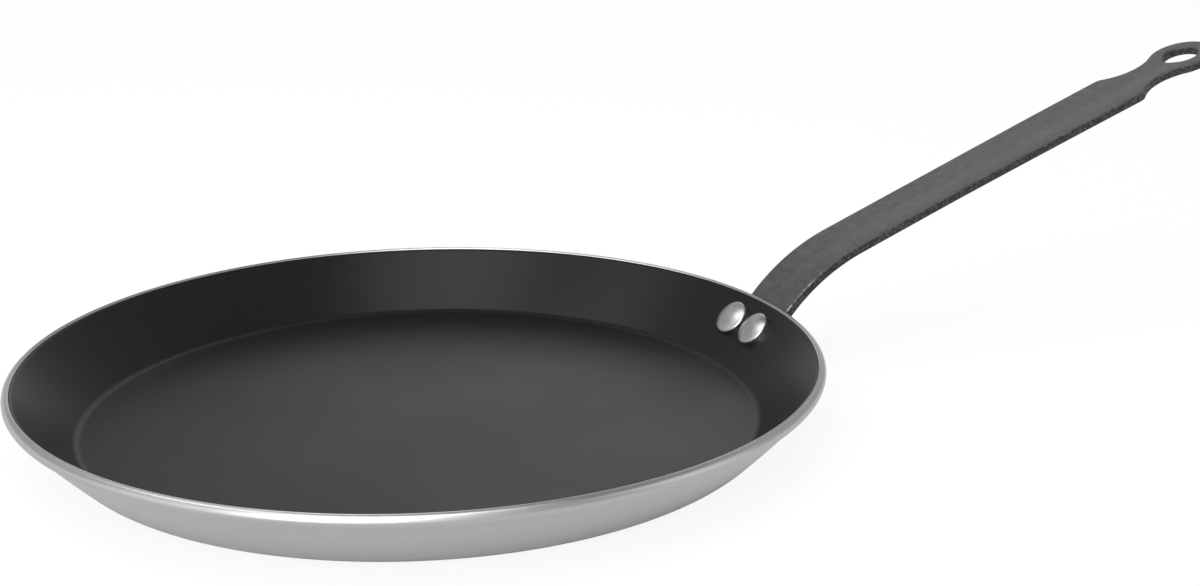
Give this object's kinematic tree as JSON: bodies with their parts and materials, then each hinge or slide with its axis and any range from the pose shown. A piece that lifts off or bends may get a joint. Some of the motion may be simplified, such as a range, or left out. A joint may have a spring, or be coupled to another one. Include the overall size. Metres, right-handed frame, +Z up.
{
  "type": "crepe pan",
  "caption": "Shallow round crepe pan with a low flared wall, a non-stick lining and a long strip handle, riveted on, bent upwards and ending in a hanging eye.",
  "frame": {"origin": "centre of the pan's flat underside, on the surface that it stands on", "axes": "+Z up along the pan's own axis, +X along the handle towards its hanging eye, +Y to the left of the handle"},
  "size_m": [0.5211, 0.3, 0.1116],
  "materials": {
    "pan_metal": "satin, turned aluminium with fine rings, bare on the outside and at the lip",
    "nonstick": "dark grey non-stick coating with a soft sheen",
    "handle_steel": "dark grey, finely textured coat on steel strip, rougher on the cut edges",
    "rivet_metal": "satin aluminium"
  },
  "bodies": {
    "root": {"pan_body": "pan_metal", "nonstick_lining": "nonstick", "handle": "handle_steel", "rivet_left": "rivet_metal", "rivet_right": "rivet_metal"}
  },
  "joints": []
}
